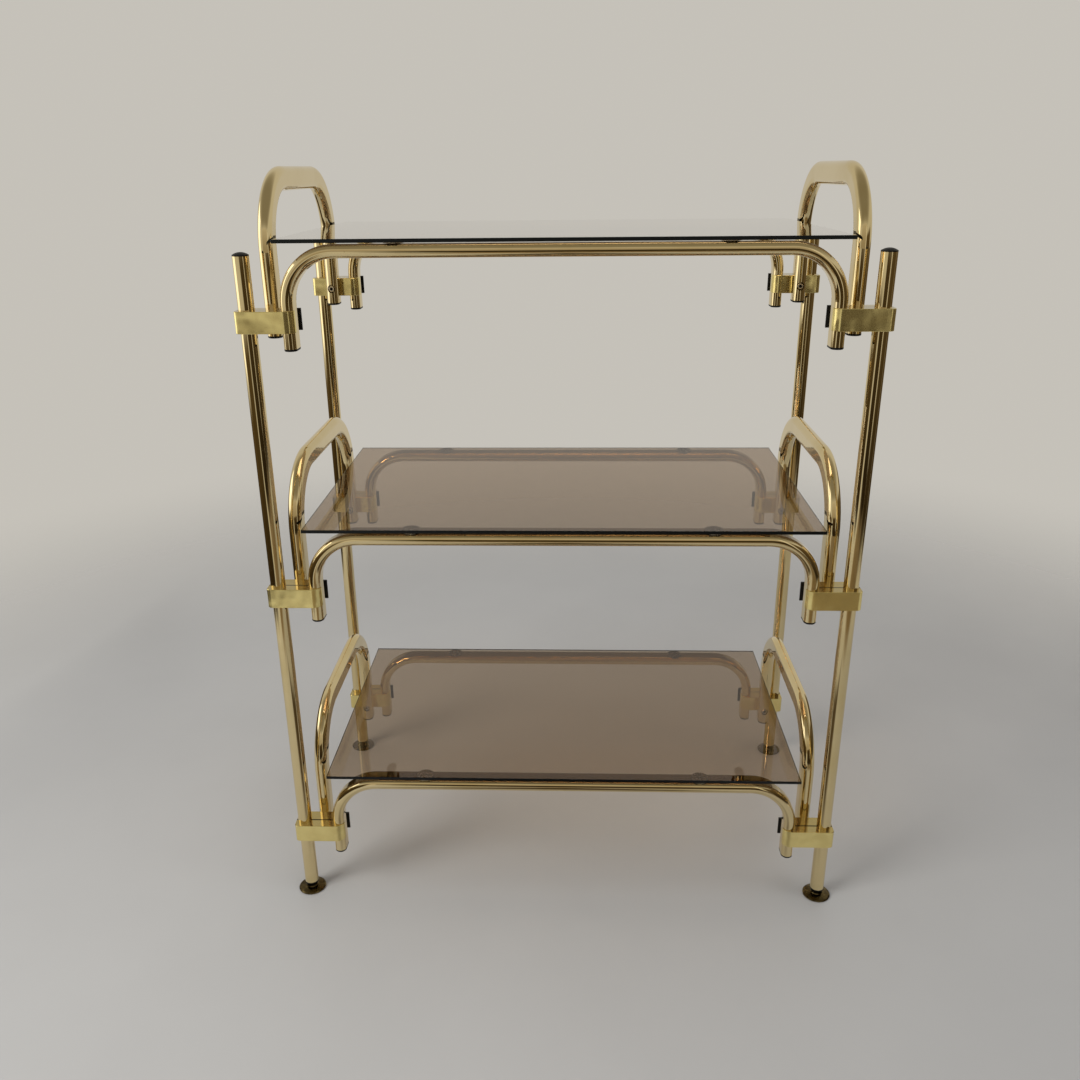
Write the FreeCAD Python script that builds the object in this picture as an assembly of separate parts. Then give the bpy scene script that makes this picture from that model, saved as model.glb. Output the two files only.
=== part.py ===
"""Three-shelf etagere: brass-plated tube frame, two-jaw clamps and smoked glass shelves.

Frame: millimetres, +Z up, +X to the right, -Y to the front. The origin lies on the floor,
midway between the four uprights.
"""
import FreeCAD, Part
import math
import os
from FreeCAD import Vector

# Frame layout, measured between tube axes
UPRIGHT_SPACING_X = 844.0
UPRIGHT_SPACING_Y = 424.0
BOTTOM_CLAMP_TOP = 135.0        # top face of the lowest clamps, above the floor
MIDDLE_SHELF_RISE = 420.0       # lowest clamps to middle clamps
TOP_SHELF_RISE = 402.0          # middle clamps to top clamps
HOOP_PITCH = 26.0               # upright axis to hoop leg axis, along the clamp
RAIL_PITCH = 30.5               # hoop leg axis to rail leg axis, along the clamp
RAIL_SETBACK = 2.5              # rail axis behind the plane of the upright axes

# Tubes: the uprights are round, the rails and hoops flat oval with their broad way front to back
UPRIGHT_DIAMETER = 22.0
HOOP_WIDTH = 20.0
HOOP_DEPTH = 33.0
RAIL_WIDTH = 18.0
RAIL_DEPTH = 32.0
TUBE_WALL = 1.2
UPRIGHT_FLOOR_GAP = 15.0        # floor to the lower end of an upright
UPRIGHT_STUB = 70.0             # upright above the top clamp, without its cap
RAIL_RISE = 75.5                # clamp top to the axis of a rail
RAIL_BEND_RADIUS = 68.0
RAIL_TAIL = 21.5                # rail leg below its clamp, without its plug
HOOP_RISE = 164.0               # clamp top to the axis of a hoop's top bar
HOOP_BEND_RADIUS = 92.0
HOOP_TAIL = 9.0                 # hoop leg below its clamp, without its plug

# Clamps: an outer and an inner jaw meet on the plane of the upright and rail axes
CLAMP_HEIGHT = 29.5
JAW_GAP = 0.8
OUTER_JAW_WALL = 6.5            # metal outside the upright, away from the shelf centre
INNER_JAW_WALL = 11.5           # metal inside the upright, towards the shelf centre
UPRIGHT_END_WALL = 3.0
UPRIGHT_END_RADIUS = 7.0
FRONT_END_RADIUS = 14.0
FRONT_LIP = 10.0                # front-facing jaw past the rail leg axis
REAR_LIP = 7.0                  # rear-facing jaw past the rail leg axis
REAR_END_RADIUS = 4.0
LIP_GAP = 10.0                  # opening between the jaws beside the rail leg
SADDLE_DEPTH = 1.5              # groove in the inner jaw that seats the hoop leg
JAW_EDGE = 0.6                  # chamfer round the top and bottom faces
TUBE_FIT = 0.05                 # radial clearance of tubes in jaws
CUT_OVERRUN = 1.0               # how far a cutting tool runs past a face
EDGE_TOLERANCE = 0.05           # for picking out the edges to chamfer

# Black strip at the shelf end of the rear-facing jaw
STRIP_THICKNESS = 2.5
STRIP_BACKING = 0.6             # metal between the rail leg and the strip
STRIP_REACH = 11.5              # rail leg axis to the strip's free edge
STRIP_LENGTH = 13.0
STRIP_HEIGHT = 29.5

# Clamp screw, driven through the hoop leg from the shelf centre
SCREW_DIAMETER = 6.0
SCREW_CLEARANCE = 0.2
SCREW_THREAD_REACH = 12.0       # length in the outer jaw
SCREW_HOLE_RUNOUT = 1.0         # hole past the tip of the screw
SCREW_HEAD_DIAMETER = 9.6
SCREW_HEAD_HEIGHT = 4.5
SCREW_HEAD_EDGE = 0.5           # chamfer of the head
SCREW_SOCKET = 5.0              # across the flats
SCREW_SOCKET_DEPTH = 3.0
DIMPLE_MOUTH = 13.5
DIMPLE_FLOOR = 10.4
DIMPLE_DEPTH = 6.0

# Glass and its pads
GLASS_THICKNESS = 5.0
GLASS_SIDE_GAP = 9.0            # glass edge to the hoops
GLASS_OVERHANG = 12.5           # glass edge past the rail axis, front and back
GLASS_EDGE = 0.5                # ground arris
PAD_DIAMETER = 27.0
PAD_THICKNESS = 1.5
PAD_RIM = 0.8
PAD_HUB = 8.0
PAD_STEM = 5.0
PAD_STEM_LENGTH = 5.0
PAD_SPACING = 438.0             # between the two pads on one rail

# Plastic plugs and caps
PLUG_HEAD = 3.0
PLUG_DEPTH = 10.0
PLUG_FIT = 0.05
PLUG_EDGE = 0.8
CAP_EDGE = 1.5                  # straight side of an upright's cap
CAP_DOME = 3.5                  # rise of its domed top

# Levelling feet
STEM_DIAMETER = 8.0
STEM_LENGTH = 40.0
FOOT_DIAMETER = 44.0
FOOT_RIM = 2.0
FOOT_HEIGHT = 9.0
FOOT_BEVEL_WIDTH = 1.5          # sloped edge between the rim and the dish
FOOT_BEVEL_RISE = 1.2
FOOT_DISH_RISE = 3.6            # rim top to the base of the hub
FOOT_HUB_BASE = 20.0
FOOT_HUB_TOP = 14.0
INSERT_FLANGE = 2.0
INSERT_LENGTH = 26.0
THREAD_FIT = 0.05

LEVELS = ("bottom", "middle", "top")
SIDES = {"left": -1, "right": 1}
DEPTHS = {"front": -1, "back": 1}
CORNERS = {
    f"{depth_name}_{side_name}": (side, depth)
    for depth_name, depth in DEPTHS.items() for side_name, side in SIDES.items()
}

# Derived places
upright_radius = UPRIGHT_DIAMETER / 2
upright_x = UPRIGHT_SPACING_X / 2
upright_y = UPRIGHT_SPACING_Y / 2
hoop_x = upright_x - HOOP_PITCH
rail_x = hoop_x - RAIL_PITCH
rail_y = upright_y - RAIL_SETBACK
outer_jaw_depth = upright_radius + OUTER_JAW_WALL
inner_jaw_depth = upright_radius + INNER_JAW_WALL
saddle_floor = inner_jaw_depth - SADDLE_DEPTH
hoop_y = upright_y - saddle_floor - HOOP_DEPTH / 2
dimple_face = hoop_y - HOOP_DEPTH / 2
clamp_tops = {
    "bottom": BOTTOM_CLAMP_TOP,
    "middle": BOTTOM_CLAMP_TOP + MIDDLE_SHELF_RISE,
    "top": BOTTOM_CLAMP_TOP + MIDDLE_SHELF_RISE + TOP_SHELF_RISE,
}
upright_top = clamp_tops["top"] + UPRIGHT_STUB


def save(shapes, node):
    """Write one node, made of one or more separate solids, to its STEP file."""
    solids = shapes if isinstance(shapes, list) else [shapes]
    whole = solids[0] if len(solids) == 1 else Part.makeCompound(solids)
    whole.exportStep(f"parts/{node}.step")


def mirrored(shape, side, depth):
    """Reflect a shape built for the right back corner to another corner."""
    if side < 0:
        shape = shape.mirror(Vector(0, 0, 0), Vector(1, 0, 0))
    if depth < 0:
        shape = shape.mirror(Vector(0, 0, 0), Vector(0, 1, 0))
    return shape


def cylinder(radius, bottom, top, x=0.0, y=0.0):
    """Upright cylinder between two heights."""
    return Part.makeCylinder(radius, top - bottom, Vector(x, y, bottom))


def revolved(profile):
    """Solid of revolution about Z from (radius, height) points."""
    points = [Vector(radius, 0, height) for radius, height in profile]
    face = Part.Face(Part.makePolygon(points + points[:1]))
    return face.revolve(Vector(0, 0, 0), Vector(0, 0, 1), 360)


def oval_face(centre, width, depth):
    """Level flat oval, its width along X and its depth along Y."""
    radius = width / 2
    reach = depth / 2 - radius

    def at(x, y):
        return centre + Vector(x, y, 0)

    return Part.Face(Part.Wire([
        Part.LineSegment(at(radius, -reach), at(radius, reach)).toShape(),
        Part.Arc(at(radius, reach), at(0, depth / 2), at(-radius, reach)).toShape(),
        Part.LineSegment(at(-radius, reach), at(-radius, -reach)).toShape(),
        Part.Arc(at(-radius, -reach), at(0, -depth / 2), at(radius, -reach)).toShape(),
    ]))


def oval_bar(width, depth, bottom, top, x=0.0, y=0.0):
    """Upright flat oval bar between two heights."""
    return oval_face(Vector(x, y, bottom), width, depth).extrude(Vector(0, 0, top - bottom))


def bent_bar(along, centre, half_width, bottom, top, bend_radius, width, depth):
    """Solid inverted U of flat oval section: legs on both sides of a centre, joined by a bar."""
    spring = top - bend_radius
    leg_foot = centre + along * half_width + Vector(0, 0, bottom)
    section = oval_face(leg_foot, width, depth)
    leg = section.extrude(Vector(0, 0, spring - bottom))
    section.translate(Vector(0, 0, spring - bottom))
    pivot = centre + along * (half_width - bend_radius) + Vector(0, 0, spring)
    turn_axis = along.cross(Vector(0, 0, 1))
    bend = section.revolve(pivot, turn_axis, 90)
    section.rotate(pivot, turn_axis, 90)
    bar = section.extrude(along * (-2 * (half_width - bend_radius)))
    far_bend, far_leg = bend.mirror(centre, along), leg.mirror(centre, along)
    return leg.fuse([bend, bar, far_bend, far_leg]).removeSplitter()


def tube_arch(along, centre, half_width, bottom, top, bend_radius, width, depth):
    """Bent flat oval tube with its real wall."""
    outside = bent_bar(along, centre, half_width, bottom, top, bend_radius, width, depth)
    inside = bent_bar(along, centre, half_width, bottom - CUT_OVERRUN, top, bend_radius,
                      width - 2 * TUBE_WALL, depth - 2 * TUBE_WALL)
    return outside.cut(inside)


def tail_plug(width, depth):
    """Push-in plug of a flat oval tube, head down, with the tube end at height 0."""
    play = 2 * (TUBE_WALL + PLUG_FIT)
    head = oval_bar(width, depth, -PLUG_HEAD, 0)
    lower_rim = [edge for edge in head.Edges if edge.BoundBox.ZMax < EDGE_TOLERANCE - PLUG_HEAD]
    stem = oval_bar(width - play, depth - play, 0, PLUG_DEPTH)
    return head.makeChamfer(PLUG_EDGE, lower_rim).fuse(stem).removeSplitter()


# Uprights and their caps
def upright():
    """Straight tube of a right back corner."""
    bore = upright_radius - TUBE_WALL
    outside = cylinder(upright_radius, UPRIGHT_FLOOR_GAP, upright_top, upright_x, upright_y)
    return outside.cut(cylinder(bore, UPRIGHT_FLOOR_GAP, upright_top, upright_x, upright_y))


def upright_cap():
    """Domed cap with a push-in stem, on the top of a right back upright."""
    height = CAP_EDGE + CAP_DOME
    dome_radius = (upright_radius ** 2 + CAP_DOME ** 2) / (2 * CAP_DOME)
    ball = Part.makeSphere(dome_radius, Vector(0, 0, height - dome_radius))
    head = cylinder(upright_radius, 0, height).common(ball)
    stem = cylinder(upright_radius - TUBE_WALL - PLUG_FIT, -PLUG_DEPTH, 0)
    return head.fuse(stem).removeSplitter().translated(Vector(upright_x, upright_y, upright_top))


# Levelling feet
def foot_insert():
    """Threaded insert in the lower end of a right back upright."""
    stem = upright_radius - TUBE_WALL - PLUG_FIT
    thread = STEM_DIAMETER / 2 + THREAD_FIT
    insert = revolved([
        (thread, -INSERT_FLANGE), (upright_radius, -INSERT_FLANGE), (upright_radius, 0),
        (stem, 0), (stem, INSERT_LENGTH), (thread, INSERT_LENGTH),
    ])
    return insert.translated(Vector(upright_x, upright_y, UPRIGHT_FLOOR_GAP))


def foot_stem():
    """Threaded stem that carries the disc of a right back foot."""
    shank = STEM_DIAMETER / 2
    stem = revolved([
        (0, FOOT_RIM), (shank, FOOT_RIM), (shank, STEM_LENGTH - PLUG_EDGE),
        (shank - PLUG_EDGE, STEM_LENGTH), (0, STEM_LENGTH),
    ])
    return stem.translated(Vector(upright_x, upright_y, 0))


def foot_disc():
    """Dished disc that turns on the stem of a right back foot."""
    rim = FOOT_DIAMETER / 2
    bore = STEM_DIAMETER / 2 + THREAD_FIT
    dish = revolved([
        (0, 0), (rim - PLUG_EDGE, 0), (rim, PLUG_EDGE), (rim, FOOT_RIM),
        (rim - FOOT_BEVEL_WIDTH, FOOT_RIM + FOOT_BEVEL_RISE), (FOOT_HUB_BASE / 2, FOOT_RIM + FOOT_DISH_RISE),
        (FOOT_HUB_TOP / 2, FOOT_HEIGHT), (bore, FOOT_HEIGHT), (bore, FOOT_RIM), (0, FOOT_RIM),
    ])
    return dish.translated(Vector(upright_x, upright_y, 0))


# Shelf rails and side hoops
def pad_places(level):
    """Centres of the four pads of a shelf, on top of its rails."""
    height = clamp_tops[level] + RAIL_RISE + RAIL_WIDTH / 2
    return [Vector(side * PAD_SPACING / 2, depth * rail_y, height) for side, depth in CORNERS.values()]


def rail(level, depth):
    """Long rail: an inverted U whose legs pass down through the clamps."""
    clamp_top = clamp_tops[level]
    bottom = clamp_top - CLAMP_HEIGHT - RAIL_TAIL
    axis_height = clamp_top + RAIL_RISE
    tube = tube_arch(Vector(1, 0, 0), Vector(0, depth * rail_y, 0), rail_x, bottom,
                     axis_height, RAIL_BEND_RADIUS, RAIL_WIDTH, RAIL_DEPTH)
    hole_radius = PAD_STEM / 2 + PLUG_FIT
    for place in pad_places(level):
        if place.y * depth > 0:
            hole = cylinder(hole_radius, axis_height, place.z + CUT_OVERRUN, place.x, place.y)
            tube = tube.cut(hole)
    return tube


def cone_along_y(near_radius, near_y, far_radius, far_y, height):
    """Cone frustum on the screw axis of the right back clamp."""
    base = Vector(hoop_x, near_y, height)
    return Part.makeCone(near_radius, far_radius, far_y - near_y, base, Vector(0, 1, 0))


def screw_height(level):
    """Height of the clamp screws of a level."""
    return clamp_tops[level] - CLAMP_HEIGHT / 2


def dimple(level):
    """Pressed cup in a right back hoop leg: the metal it adds and the space it opens."""
    height = screw_height(level)
    floor_y = dimple_face + DIMPLE_DEPTH
    mouth, floor = DIMPLE_MOUTH / 2, DIMPLE_FLOOR / 2
    metal = cone_along_y(mouth + TUBE_WALL, dimple_face - TUBE_WALL, floor + TUBE_WALL,
                         floor_y + TUBE_WALL, height)
    leg = oval_bar(HOOP_WIDTH, HOOP_DEPTH, height - DIMPLE_MOUTH, height + DIMPLE_MOUTH, hoop_x, hoop_y)
    space = cone_along_y(mouth, dimple_face, floor, floor_y, height)
    mouth_space = Part.makeCylinder(mouth, CUT_OVERRUN, Vector(hoop_x, dimple_face - CUT_OVERRUN, height),
                                    Vector(0, 1, 0))
    hole = Part.makeCylinder(SCREW_DIAMETER / 2 + SCREW_CLEARANCE, HOOP_DEPTH + CUT_OVERRUN,
                             Vector(hoop_x, dimple_face, height), Vector(0, 1, 0))
    return metal.common(leg), space.fuse([mouth_space, hole])


def hoop(level, side):
    """Side hoop: an inverted U from the front clamp to the back clamp, dimpled for its screws."""
    clamp_top = clamp_tops[level]
    bottom = clamp_top - CLAMP_HEIGHT - HOOP_TAIL
    tube = tube_arch(Vector(0, 1, 0), Vector(hoop_x, 0, 0), hoop_y, bottom,
                     clamp_top + HOOP_RISE, HOOP_BEND_RADIUS, HOOP_WIDTH, HOOP_DEPTH)
    metal, space = dimple(level)
    for depth in DEPTHS.values():
        tube = tube.fuse(mirrored(metal, 1, depth)).cut(mirrored(space, 1, depth))
    return mirrored(tube.removeSplitter(), side, 1)


def rail_plugs():
    """Plugs in the lower ends of all rail legs."""
    plug = tail_plug(RAIL_WIDTH, RAIL_DEPTH)
    return [
        plug.translated(Vector(side * rail_x, depth * rail_y, top - CLAMP_HEIGHT - RAIL_TAIL))
        for top in clamp_tops.values() for side, depth in CORNERS.values()
    ]


def hoop_plugs():
    """Plugs in the lower ends of all hoop legs."""
    plug = tail_plug(HOOP_WIDTH, HOOP_DEPTH)
    return [
        plug.translated(Vector(side * hoop_x, depth * hoop_y, top - CLAMP_HEIGHT - HOOP_TAIL))
        for top in clamp_tops.values() for side, depth in CORNERS.values()
    ]


# Clamps, built about a right back upright: outward is +Y, the shelf centre is towards -X and -Y
def jaw_block(depth_reach, faces_front):
    """Jaw before its bores: plan outline with rounded ends, top face at height 0."""
    lip = FRONT_LIP if faces_front else REAR_LIP
    outer_end = upright_x + upright_radius + UPRIGHT_END_WALL
    inner_end = rail_x - lip
    face = depth_reach
    seam = JAW_GAP / 2
    swing = 1 - math.sqrt(0.5)
    small = UPRIGHT_END_RADIUS
    large = FRONT_END_RADIUS if faces_front else REAR_END_RADIUS
    outline = Part.Wire([
        Part.LineSegment(Vector(inner_end, seam, 0), Vector(outer_end, seam, 0)).toShape(),
        Part.LineSegment(Vector(outer_end, seam, 0), Vector(outer_end, face - small, 0)).toShape(),
        Part.Arc(Vector(outer_end, face - small, 0),
                 Vector(outer_end - small * swing, face - small * swing, 0),
                 Vector(outer_end - small, face, 0)).toShape(),
        Part.LineSegment(Vector(outer_end - small, face, 0), Vector(inner_end + large, face, 0)).toShape(),
        Part.Arc(Vector(inner_end + large, face, 0),
                 Vector(inner_end + large * swing, face - large * swing, 0),
                 Vector(inner_end, face - large, 0)).toShape(),
        Part.LineSegment(Vector(inner_end, face - large, 0), Vector(inner_end, seam, 0)).toShape(),
    ])
    block = Part.Face(outline).extrude(Vector(0, 0, -CLAMP_HEIGHT))
    rim = [
        edge for edge in block.Edges
        if edge.BoundBox.ZLength < EDGE_TOLERANCE and edge.BoundBox.YMax > seam + EDGE_TOLERANCE
    ]
    return block.makeChamfer(JAW_EDGE, rim)


def bored(block, rail_offset):
    """Cut the tube bores and the opening beside the rail leg out of a jaw."""
    low, high = -CLAMP_HEIGHT - CUT_OVERRUN, CUT_OVERRUN
    block = block.cut(cylinder(upright_radius + TUBE_FIT, low, high, upright_x))
    rail_bore = oval_bar(RAIL_WIDTH + 2 * TUBE_FIT, RAIL_DEPTH + 2 * TUBE_FIT, low, high, rail_x, rail_offset)
    block = block.cut(rail_bore)
    opening = Part.makeBox(FRONT_LIP + REAR_LIP, LIP_GAP, high - low,
                           Vector(rail_x - FRONT_LIP - REAR_LIP, -LIP_GAP / 2, low))
    return block.cut(opening)


def strip_box(length, height, top, rail_offset):
    """Box in the place of the black strip, in jaw coordinates."""
    setback = rail_offset + RAIL_DEPTH / 2 + STRIP_BACKING
    corner = Vector(rail_x - STRIP_REACH, setback, top - height)
    return Part.makeBox(length, STRIP_THICKNESS, height, corner)


def jaw(is_inner, faces_front):
    """One jaw in its own coordinates: the seam at y = 0, the jaw on the +y side, top at 0."""
    depth_reach = inner_jaw_depth if is_inner else outer_jaw_depth
    rail_offset = RAIL_SETBACK if is_inner else -RAIL_SETBACK
    block = bored(jaw_block(depth_reach, faces_front), rail_offset)
    mid_height = -CLAMP_HEIGHT / 2
    if is_inner:
        saddle = oval_bar(HOOP_WIDTH + 2 * TUBE_FIT, HOOP_DEPTH + 2 * TUBE_FIT,
                          -CLAMP_HEIGHT - CUT_OVERRUN, CUT_OVERRUN, hoop_x, saddle_floor + HOOP_DEPTH / 2)
        block = block.cut(saddle)
        screw_hole = Part.makeCylinder(SCREW_DIAMETER / 2 + SCREW_CLEARANCE, depth_reach,
                                       Vector(hoop_x, 0, mid_height), Vector(0, 1, 0))
    else:
        hole_depth = SCREW_THREAD_REACH + SCREW_HOLE_RUNOUT
        screw_hole = Part.makeCylinder(SCREW_DIAMETER / 2 + THREAD_FIT, hole_depth,
                                       Vector(hoop_x, 0, mid_height), Vector(0, 1, 0))
    block = block.cut(screw_hole)
    if not faces_front:
        slot = strip_box(STRIP_LENGTH, CLAMP_HEIGHT + 2 * CUT_OVERRUN, CUT_OVERRUN, rail_offset)
        block = block.cut(slot)
    return block


def placed_jaw(jaw_shape, level, side, depth, is_inner):
    """Move a jaw to its clamp: an outer jaw looks away from the shelf centre."""
    outward = -depth if is_inner else depth
    shape = mirrored(jaw_shape, side, outward)
    return shape.translated(Vector(0, depth * upright_y, clamp_tops[level]))


def clamp_strip(level, side, depth):
    """Black strip in the rear-facing jaw of one clamp."""
    top = (STRIP_HEIGHT - CLAMP_HEIGHT) / 2
    rail_offset = -RAIL_SETBACK * depth
    strip = mirrored(strip_box(STRIP_LENGTH, STRIP_HEIGHT, top, rail_offset), side, 1)
    return strip.translated(Vector(0, depth * upright_y, clamp_tops[level]))


def clamp_screw(level):
    """Socket screw of a right back clamp, seated in the hoop's dimple."""
    height = screw_height(level)
    seat_y = dimple_face + DIMPLE_DEPTH
    tip_y = upright_y + SCREW_THREAD_REACH
    head, shank = SCREW_HEAD_DIAMETER / 2, SCREW_DIAMETER / 2
    socket_corner = SCREW_SOCKET / math.sqrt(3)
    screw = revolved([
        (0, -SCREW_HEAD_HEIGHT), (head - SCREW_HEAD_EDGE, -SCREW_HEAD_HEIGHT),
        (head, SCREW_HEAD_EDGE - SCREW_HEAD_HEIGHT), (head, 0),
        (shank, 0), (shank, tip_y - seat_y), (0, tip_y - seat_y),
    ])
    hexagon = [
        Vector(socket_corner * math.cos(math.tau * turn / 6), socket_corner * math.sin(math.tau * turn / 6),
               -SCREW_HEAD_HEIGHT)
        for turn in range(6)
    ]
    socket = Part.Face(Part.makePolygon(hexagon + hexagon[:1])).extrude(Vector(0, 0, SCREW_SOCKET_DEPTH))
    screw = screw.cut(socket)
    screw.rotate(Vector(0, 0, 0), Vector(1, 0, 0), -90)
    return screw.translated(Vector(hoop_x, seat_y, height))


# Glass shelves and their pads
def glass_shelf(level):
    """Smoked glass sheet with ground edges, lying on its four pads."""
    length = 2 * (hoop_x - HOOP_WIDTH / 2 - GLASS_SIDE_GAP)
    depth = 2 * (rail_y + GLASS_OVERHANG)
    bottom = clamp_tops[level] + RAIL_RISE + RAIL_WIDTH / 2 + PAD_THICKNESS
    sheet = Part.makeBox(length, depth, GLASS_THICKNESS, Vector(-length / 2, -depth / 2, bottom))
    return sheet.makeChamfer(GLASS_EDGE, sheet.Edges)


def pad():
    """Soft cup pad with a stem that plugs into the rail, its seat on the rail at height 0."""
    hub, rim, stem = PAD_HUB / 2, PAD_DIAMETER / 2, PAD_STEM / 2
    return revolved([
        (0, PAD_THICKNESS), (rim, PAD_THICKNESS), (rim, PAD_THICKNESS - PAD_RIM), (hub, 0),
        (stem, 0), (stem, -PAD_STEM_LENGTH), (0, -PAD_STEM_LENGTH),
    ])


def build_corners():
    """Uprights, caps, inserts and levelling feet."""
    corner_pieces = {"upright": upright(), "foot_stem": foot_stem(), "foot_disc": foot_disc()}
    for name, shape in corner_pieces.items():
        for corner, (side, depth) in CORNERS.items():
            save(mirrored(shape, side, depth), f"{name}_{corner}")
    for node, shape in (("upright_caps", upright_cap()), ("foot_inserts", foot_insert())):
        save([mirrored(shape, side, depth) for side, depth in CORNERS.values()], node)


def build_shelves():
    """Rails, hoops and glass of the three levels, with plugs and pads."""
    for level in LEVELS:
        for depth_name, depth in DEPTHS.items():
            save(rail(level, depth), f"rail_{level}_{depth_name}")
        for side_name, side in SIDES.items():
            save(hoop(level, side), f"hoop_{level}_{side_name}")
        save(glass_shelf(level), f"glass_{level}")
    save(rail_plugs(), "rail_plugs")
    save(hoop_plugs(), "hoop_plugs")
    soft_pad = pad()
    save([soft_pad.translated(place) for level in LEVELS for place in pad_places(level)], "glass_pads")


def build_clamps():
    """Two jaws, a strip and a screw for each of the twelve clamps."""
    jaw_shapes = {
        (is_inner, faces_front): jaw(is_inner, faces_front)
        for is_inner in (False, True) for faces_front in (False, True)
    }
    strips, screws = [], []
    for level in LEVELS:
        for corner, (side, depth) in CORNERS.items():
            for jaw_name, is_inner in (("outer", False), ("inner", True)):
                faces_front = (depth < 0) != is_inner
                shape = placed_jaw(jaw_shapes[is_inner, faces_front], level, side, depth, is_inner)
                save(shape, f"clamp_{level}_{corner}_{jaw_name}_jaw")
            strips.append(clamp_strip(level, side, depth))
            screws.append(mirrored(clamp_screw(level), side, depth))
    save(strips, "clamp_strips")
    save(screws, "clamp_screws")


os.makedirs("parts", exist_ok=True)
build_corners()
build_shelves()
build_clamps()
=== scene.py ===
"""Looks of a brass tube etagere with smoked glass shelves: finishes, foot threads, studio and camera.

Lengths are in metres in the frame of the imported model: +X right, -Y front, +Z up, the origin on the
floor midway between the four uprights.
"""
import logging
import math
from dataclasses import dataclass, field
from enum import Enum
from typing import Iterator, Union

import bmesh
import bpy
from mathutils import Matrix, Vector


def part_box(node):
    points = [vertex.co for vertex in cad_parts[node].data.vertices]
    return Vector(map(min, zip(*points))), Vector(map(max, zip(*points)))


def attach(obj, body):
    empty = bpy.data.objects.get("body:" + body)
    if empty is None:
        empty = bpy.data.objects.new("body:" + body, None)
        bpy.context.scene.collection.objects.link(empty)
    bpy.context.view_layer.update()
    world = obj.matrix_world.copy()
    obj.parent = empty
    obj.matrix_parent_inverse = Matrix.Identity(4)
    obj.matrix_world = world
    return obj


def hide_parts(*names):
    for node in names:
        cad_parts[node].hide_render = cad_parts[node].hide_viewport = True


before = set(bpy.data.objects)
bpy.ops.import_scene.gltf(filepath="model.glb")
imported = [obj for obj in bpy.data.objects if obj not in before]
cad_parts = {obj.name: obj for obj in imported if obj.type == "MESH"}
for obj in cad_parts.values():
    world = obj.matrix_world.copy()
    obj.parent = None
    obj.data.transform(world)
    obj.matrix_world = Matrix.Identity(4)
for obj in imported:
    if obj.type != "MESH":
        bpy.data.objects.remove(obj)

LOG = logging.getLogger("etagere")
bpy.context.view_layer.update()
MILLIMETRE = 0.001

Triple = tuple[float, float, float]
Colour = Triple
Range = tuple[float, float]
Value = Union["Signal", float]
Paint = Union["Signal", Colour]


class Side(Enum):
    """Left and right halves of the piece, with the sign of X on each."""

    LEFT = -1
    RIGHT = 1

    @property
    def word(self) -> str:
        """The side's name as the nodes spell it."""
        return self.name.lower()


class Depth(Enum):
    """Front and back halves of the piece, with the sign of Y on each."""

    FRONT = -1
    BACK = 1

    @property
    def word(self) -> str:
        """The depth's name as the nodes spell it."""
        return self.name.lower()


class Level(Enum):
    """The three shelf levels, from the floor up."""

    BOTTOM = "bottom"
    MIDDLE = "middle"
    TOP = "top"


class Coordinates(Enum):
    """Outputs of the texture coordinate node that the finishes use."""

    OBJECT = "Object"
    NORMAL = "Normal"


class Ray(Enum):
    """Kinds of ray that the light path node tells apart."""

    CAMERA = "Is Camera Ray"
    SHADOW = "Is Shadow Ray"
    GLOSSY = "Is Glossy Ray"
    TRANSMISSION = "Is Transmission Ray"


class MixSocket:
    """Socket numbers of a Mix node that works on colours."""

    FACTOR = 0
    FIRST = 6
    SECOND = 7
    RESULT = 2


class Signal:
    """One output socket of a shader graph that can be used in Python arithmetic."""

    def __init__(self, graph: "Graph", socket: bpy.types.NodeSocket) -> None:
        """Keep the socket and the graph that it belongs to.

        Args:
            graph: Graph that new Math nodes go into.
            socket: Output socket to read.
        """
        self.graph = graph
        self.socket = socket

    def _math(self, operation: str, first: Value, second: Value) -> "Signal":
        """Add a Math node on two values and return its result."""
        return self.graph.add("ShaderNodeMath", {"operation": operation}, {0: first, 1: second})

    def __add__(self, other: Value) -> "Signal":
        """Sum of this value and another."""
        return self._math("ADD", self, other)

    def __radd__(self, other: Value) -> "Signal":
        """Sum of another value and this one."""
        return self._math("ADD", other, self)

    def __sub__(self, other: Value) -> "Signal":
        """This value less another."""
        return self._math("SUBTRACT", self, other)

    def __rsub__(self, other: Value) -> "Signal":
        """Another value less this one."""
        return self._math("SUBTRACT", other, self)

    def __mul__(self, other: Value) -> "Signal":
        """Product of this value and another."""
        return self._math("MULTIPLY", self, other)

    def __rmul__(self, other: Value) -> "Signal":
        """Product of another value and this one."""
        return self._math("MULTIPLY", other, self)

    def __pow__(self, other: Value) -> "Signal":
        """This value to a power."""
        return self._math("POWER", self, other)

    def __abs__(self) -> "Signal":
        """This value without its sign."""
        return self._math("ABSOLUTE", self, 0.0)

    def largest(self, other: Value) -> "Signal":
        """The larger of this value and another."""
        return self._math("MAXIMUM", self, other)

    def step(self, low: float, high: float) -> "Signal":
        """Rise smoothly from 0 to 1 as this value goes from low to high.

        Args:
            low: Value at which the result leaves 0.
            high: Value at which the result reaches 1; below low, the result falls instead.

        Returns:
            The eased value.
        """
        start, end, from_low, from_high = (0.0, 1.0, low, high) if low < high else (1.0, 0.0, high, low)
        return self.graph.add(
            "ShaderNodeMapRange",
            {"interpolation_type": "SMOOTHSTEP"},
            {"Value": self, "From Min": from_low, "From Max": from_high, "To Min": start, "To Max": end},
        )


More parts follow.
